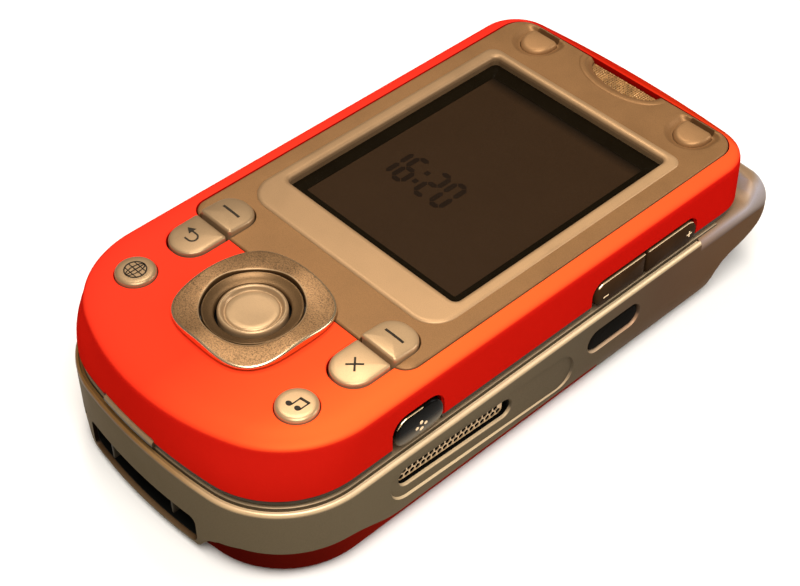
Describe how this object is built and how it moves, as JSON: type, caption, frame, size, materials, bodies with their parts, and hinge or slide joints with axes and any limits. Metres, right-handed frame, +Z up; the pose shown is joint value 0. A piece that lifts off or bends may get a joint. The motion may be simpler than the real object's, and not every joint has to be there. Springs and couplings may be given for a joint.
{
  "type": "swivel phone",
  "caption": "Swivel phone: an orange upper half with display, navigation ring and keys turns on a hinge over a grey base with number keypad, speakers, camera and sliding rear cover.",
  "frame": {"origin": "centre of the phone's footprint on the table, under the closed phone", "axes": "+Y along the phone towards the earpiece end, +Z up out of the display, +X to the side with the volume key"},
  "size_m": [0.0466, 0.093, 0.0236],
  "materials": {
    "orange_plastic": "soft-touch satin orange",
    "grey_plastic": "fine-textured warm grey paint",
    "bright_rim": "satin silver paint with a bright bevel",
    "silver_plate": "fine metallic champagne paint",
    "key_silver": "satin metallised plastic",
    "dark_plastic": "dark grey moulded plastic",
    "black_gloss": "glossy black",
    "window_plastic": "dark clear window over the display",
    "steel": "stamped steel",
    "board": "solder-masked board",
    "rubber": "translucent silicone",
    "flex": "polyimide flex",
    "lens_glass": "coated lens",
    "mesh": "perforated mesh",
    "light_plastic": "frosted light window"
  },
  "bodies": {
    "base": {"base_housing": "grey_plastic", "base_fascia": "bright_rim", "keypad_membrane": "rubber", "main_board": "board", "battery": "dark_plastic", "camera_module": "dark_plastic", "camera_lens": "lens_glass", "camera_trim": "bright_rim", "photo_light": "light_plastic", "system_connector": "black_gloss", "speakers": "dark_plastic", "speaker_grilles": "mesh", "infrared_window": "black_gloss", "antenna": "dark_plastic", "vibration_motor": "steel", "sim_holder": "steel", "base_screws": "steel", "hinge_plate": "steel", "hinge_bush": "dark_plastic", "hinge_spring": "steel", "flex_cable": "flex"},
    "flip": {"flip_shell": "orange_plastic", "flip_bezel": "silver_plate", "flip_back_plate": "dark_plastic", "display_window": "window_plastic", "lcd_panel": "dark_plastic", "flip_board": "board", "flip_keymat": "rubber", "receiver": "dark_plastic", "receiver_mesh": "mesh", "flip_screws": "steel", "hinge_rotor": "steel", "hinge_clip": "steel"},
    "rear_cover": {"rear_cover": "orange_plastic"},
    "vibration_weight": {"vibration_weight": "steel"},
    "nav_carrier": {"nav_carrier": "rubber"},
    "nav_ring": {"nav_ring": "silver_plate"},
    "centre_button": {"centre_button": "key_silver"},
    "volume_rocker": {"volume_rocker": "black_gloss"},
    "camera_button": {"camera_button": "black_gloss"},
    "soft_key_left": {"soft_key_left": "key_silver"},
    "soft_key_right": {"soft_key_right": "key_silver"},
    "back_key": {"back_key": "key_silver"},
    "clear_key": {"clear_key": "key_silver"},
    "web_key": {"web_key": "key_silver"},
    "music_key": {"music_key": "key_silver"},
    "game_key_left": {"game_key_left": "silver_plate"},
    "game_key_right": {"game_key_right": "silver_plate"},
    "key_1": {"key_1": "key_silver"},
    "key_2": {"key_2": "key_silver"},
    "key_3": {"key_3": "key_silver"},
    "key_4": {"key_4": "key_silver"},
    "key_5": {"key_5": "key_silver"},
    "key_6": {"key_6": "key_silver"},
    "key_7": {"key_7": "key_silver"},
    "key_8": {"key_8": "key_silver"},
    "key_9": {"key_9": "key_silver"},
    "key_star": {"key_star": "key_silver"},
    "key_0": {"key_0": "key_silver"},
    "key_hash": {"key_hash": "key_silver"}
  },
  "joints": [
    {"name": "flip_swivel", "type": "hinge", "parent": "base", "child": "flip", "pos_m": [0, -0.0281, 0.0133], "axis": [0, 0, 1], "range_deg": [0, 180]},
    {"name": "rear_cover_slide", "type": "slide", "parent": "base", "child": "rear_cover", "axis": [0, -1, 0], "range_m": [0, 0.015]},
    {"name": "vibration_spin", "type": "hinge", "parent": "base", "child": "vibration_weight", "pos_m": [0.0135, -0.038, 0.00975], "axis": [1, 0, 0], "continuous": true},
    {"name": "nav_tilt_up_down", "type": "hinge", "parent": "flip", "child": "nav_carrier", "pos_m": [0, -0.0281, 0.0205], "axis": [1, 0, 0], "range_deg": [-1.5, 1.5], "stiffness_Nm_per_rad": 0.2},
    {"name": "nav_tilt_left_right", "type": "hinge", "parent": "nav_carrier", "child": "nav_ring", "pos_m": [0, -0.0281, 0.0205], "axis": [0, 1, 0], "range_deg": [-1.5, 1.5], "stiffness_Nm_per_rad": 0.2},
    {"name": "centre_button_press", "type": "slide", "parent": "flip", "child": "centre_button", "axis": [0, 0, -1], "range_m": [0, 0.0004], "stiffness_N_per_m": 800},
    {"name": "soft_key_left_press", "type": "slide", "parent": "flip", "child": "soft_key_left", "axis": [0, 0, -1], "range_m": [0, 0.0004], "stiffness_N_per_m": 800},
    {"name": "soft_key_right_press", "type": "slide", "parent": "flip", "child": "soft_key_right", "axis": [0, 0, -1], "range_m": [0, 0.0004], "stiffness_N_per_m": 800},
    {"name": "back_key_press", "type": "slide", "parent": "flip", "child": "back_key", "axis": [0, 0, -1], "range_m": [0, 0.0004], "stiffness_N_per_m": 800},
    {"name": "clear_key_press", "type": "slide", "parent": "flip", "child": "clear_key", "axis": [0, 0, -1], "range_m": [0, 0.0004], "stiffness_N_per_m": 800},
    {"name": "web_key_press", "type": "slide", "parent": "flip", "child": "web_key", "axis": [0, 0, -1], "range_m": [0, 0.0004], "stiffness_N_per_m": 800},
    {"name": "music_key_press", "type": "slide", "parent": "flip", "child": "music_key", "axis": [0, 0, -1], "range_m": [0, 0.0004], "stiffness_N_per_m": 800},
    {"name": "game_key_left_press", "type": "slide", "parent": "flip", "child": "game_key_left", "axis": [0, 0, -1], "range_m": [0, 0.0004], "stiffness_N_per_m": 800},
    {"name": "game_key_right_press", "type": "slide", "parent": "flip", "child": "game_key_right", "axis": [0, 0, -1], "range_m": [0, 0.0004], "stiffness_N_per_m": 800},
    {"name": "camera_button_press", "type": "slide", "parent": "flip", "child": "camera_button", "axis": [-1, 0, 0], "range_m": [0, 0.0005], "stiffness_N_per_m": 800},
    {"name": "volume_rock", "type": "hinge", "parent": "flip", "child": "volume_rocker", "pos_m": [0.0216, 0.0183, 0.0156], "axis": [0, 0, 1], "range_deg": [-2.5, 2.5], "stiffness_Nm_per_rad": 0.1},
    {"name": "key_1_press", "type": "slide", "parent": "base", "child": "key_1", "axis": [0, 0, -1], "range_m": [0, 0.0004], "stiffness_N_per_m": 800},
    {"name": "key_2_press", "type": "slide", "parent": "base", "child": "key_2", "axis": [0, 0, -1], "range_m": [0, 0.0004], "stiffness_N_per_m": 800},
    {"name": "key_3_press", "type": "slide", "parent": "base", "child": "key_3", "axis": [0, 0, -1], "range_m": [0, 0.0004], "stiffness_N_per_m": 800},
    {"name": "key_4_press", "type": "slide", "parent": "base", "child": "key_4", "axis": [0, 0, -1], "range_m": [0, 0.0004], "stiffness_N_per_m": 800},
    {"name": "key_5_press", "type": "slide", "parent": "base", "child": "key_5", "axis": [0, 0, -1], "range_m": [0, 0.0004], "stiffness_N_per_m": 800},
    {"name": "key_6_press", "type": "slide", "parent": "base", "child": "key_6", "axis": [0, 0, -1], "range_m": [0, 0.0004], "stiffness_N_per_m": 800},
    {"name": "key_7_press", "type": "slide", "parent": "base", "child": "key_7", "axis": [0, 0, -1], "range_m": [0, 0.0004], "stiffness_N_per_m": 800},
    {"name": "key_8_press", "type": "slide", "parent": "base", "child": "key_8", "axis": [0, 0, -1], "range_m": [0, 0.0004], "stiffness_N_per_m": 800},
    {"name": "key_9_press", "type": "slide", "parent": "base", "child": "key_9", "axis": [0, 0, -1], "range_m": [0, 0.0004], "stiffness_N_per_m": 800},
    {"name": "key_star_press", "type": "slide", "parent": "base", "child": "key_star", "axis": [0, 0, -1], "range_m": [0, 0.0004], "stiffness_N_per_m": 800},
    {"name": "key_0_press", "type": "slide", "parent": "base", "child": "key_0", "axis": [0, 0, -1], "range_m": [0, 0.0004], "stiffness_N_per_m": 800},
    {"name": "key_hash_press", "type": "slide", "parent": "base", "child": "key_hash", "axis": [0, 0, -1], "range_m": [0, 0.0004], "stiffness_N_per_m": 800}
  ]
}
